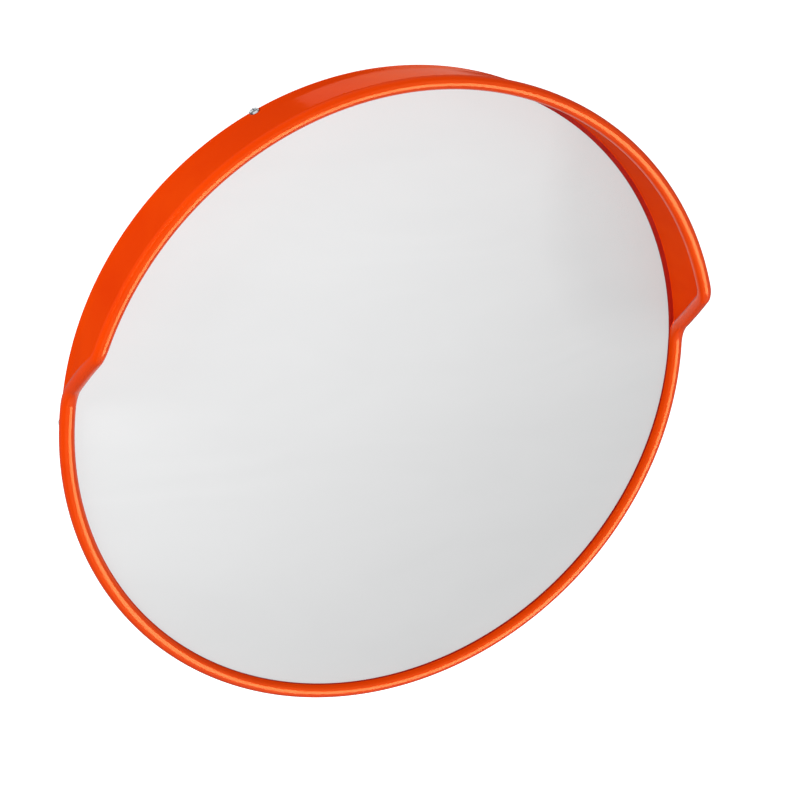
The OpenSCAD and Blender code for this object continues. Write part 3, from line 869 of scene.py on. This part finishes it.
def floor():
    """Plain pale floor, well below the mirror."""
    mesh = bpy.data.meshes.new("floor")
    half = 40
    corners = [(-half, -half), (half, -half), (half, half), (-half, half)]
    mesh.from_pydata([(x, y, FLOOR_Z) for x, y in corners], [], [(0, 1, 2, 3)])
    obj = bpy.data.objects.new("floor", mesh)
    bpy.context.scene.collection.objects.link(obj)
    material = bpy.data.materials.new("floor")
    material.use_nodes = True
    shader = material.node_tree.nodes["Principled BSDF"]
    shader.inputs["Base Color"].default_value = (0.8, 0.8, 0.8, 1)
    shader.inputs["Roughness"].default_value = 1.0
    shader.inputs["Specular IOR Level"].default_value = 0.0
    shader.inputs["Emission Color"].default_value = (1, 1, 1, 1)
    shader.inputs["Emission Strength"].default_value = 1.0
    mesh.materials.append(material)
    obj.visible_glossy = obj.visible_diffuse = False
    obj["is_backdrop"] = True


def world():
    """A white room in front of the mirror, a little darker to the lower right, and a dim one behind."""
    made = bpy.data.worlds.new("studio")
    made.use_nodes = True
    tree = made.node_tree
    background = tree.nodes["Background"]
    direction = tree.nodes.new("ShaderNodeTexCoord").outputs["Generated"]

    def towards(x, y, z):
        node = tree.nodes.new("ShaderNodeVectorMath")
        node.operation = "DOT_PRODUCT"
        node.inputs[1].default_value = unit(x, y, z)
        tree.links.new(direction, node.inputs[0])
        return node.outputs["Value"]

    def maths(operation, a, b):
        node = tree.nodes.new("ShaderNodeMath")
        node.operation = operation
        for value, socket in ((a, node.inputs[0]), (b, node.inputs[1])):
            if isinstance(value, float):
                socket.default_value = value
            else:
                tree.links.new(value, socket)
        return node.outputs[0]

    front = map_range(tree, towards(0.25, -0.90, -0.28), 0.30, 0.70, 0.0, 1.0, kind="SMOOTHSTEP")
    slant = map_range(tree, towards(-0.588, -0.556, 0.588), -0.43, 0.40, 0.56, 0.84)
    corner = map_range(tree, towards(0.80, -0.60, -0.10), 0.968, 0.984, 1.0, 0.90)
    behind = 0.22
    room = maths("ADD", maths("MULTIPLY", maths("MULTIPLY", front, slant), corner), behind)
    seen = tree.nodes.new("ShaderNodeLightPath").outputs["Is Camera Ray"]
    tree.links.new(maths("MAXIMUM", room, seen), background.inputs["Color"])
    bpy.context.scene.world = made


LIGHT_DISTANCE = 3.0


def softbox(name, direction, size, radiance, glossy=True, diffuse=True, only=()):
    """Area light that faces the mirror, never seen by the camera. only names the pieces that it lights."""
    light = bpy.data.lights.new(name, "AREA")
    light.shape = "RECTANGLE"
    light.size, light.size_y = size
    light.energy = radiance * math.pi * size[0] * size[1]
    obj = bpy.data.objects.new(name, light)
    bpy.context.scene.collection.objects.link(obj)
    way = unit(*direction)
    obj.location = CENTRE + way * LIGHT_DISTANCE
    obj.rotation_euler = way.to_track_quat("Z", "Y").to_euler()
    obj.visible_camera = False
    obj.visible_glossy = glossy
    obj.visible_diffuse = diffuse
    if only:
        lit = bpy.data.collections.new(name + "_lit")
        for piece in only:
            lit.objects.link(piece)
        obj.light_linking.receiver_collection = lit


def lights():
    others = [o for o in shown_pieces() if o is not visor_frame]
    softbox("key", (-0.87, -0.16, 0.48), (1.6, 1.6), 8.5, glossy=False)
    softbox("glint", (0.41, -0.83, -0.38), (2.1, 2.1), 10.0, diffuse=False, only=[visor_frame])
    softbox("patch", (0.35, 0.93, 0.09), (1.0, 1.0), 1.9, only=[visor_frame])
    softbox("fill", (0.05, -0.70, -0.70), (1.6, 1.6), 4.6, glossy=False)
    softbox("side", (1.0, 0.10, 0.25), (1.4, 1.4), 3.0, glossy=False)
    softbox("top", (0.0, 0.15, 1.0), (2.0, 2.0), 0.5, glossy=False)
    softbox("rear", (0.0, 1.0, 0.25), (3.2, 3.2), 1.1, only=others)
    softbox("rear_left", (-0.85, 0.45, 0.30), (2.0, 2.2), 1.2, only=others)
    softbox("rear_right", (0.92, 0.30, 0.25), (2.0, 2.2), 1.2, only=others)


def camera():
    """Seen from the front left and above, with the head a little rolled in the picture."""
    turn, rise, roll = math.radians(26.07), math.radians(22.3), math.radians(4.12)
    distance = 1.8
    shift_x, shift_y = 0.00981, -0.00478    # metres from the rim's centre to the picture's centre
    back = Vector((-math.sin(turn) * math.cos(rise), -math.cos(turn) * math.cos(rise), math.sin(rise)))
    right = Vector((0, 0, 1)).cross(back).normalized()
    up = back.cross(right)
    tilted_right = right * math.cos(roll) + up * math.sin(roll)
    tilted_up = up * math.cos(roll) - right * math.sin(roll)
    eye = CENTRE + back * distance
    aim = CENTRE + tilted_right * shift_x + tilted_up * shift_y
    z = (eye - aim).normalized()
    x = tilted_up.cross(z).normalized()
    y = z.cross(x)
    data = bpy.data.cameras.new("camera")
    data.lens, data.sensor_width = 122.6, 36.0
    obj = bpy.data.objects.new("camera", data)
    bpy.context.scene.collection.objects.link(obj)
    obj.matrix_world = Matrix((x, y, z)).transposed().to_4x4()
    obj.location = eye
    bpy.context.scene.camera = obj


floor()
world()
lights()
camera()
bpy.context.scene.view_settings.view_transform = "Standard"
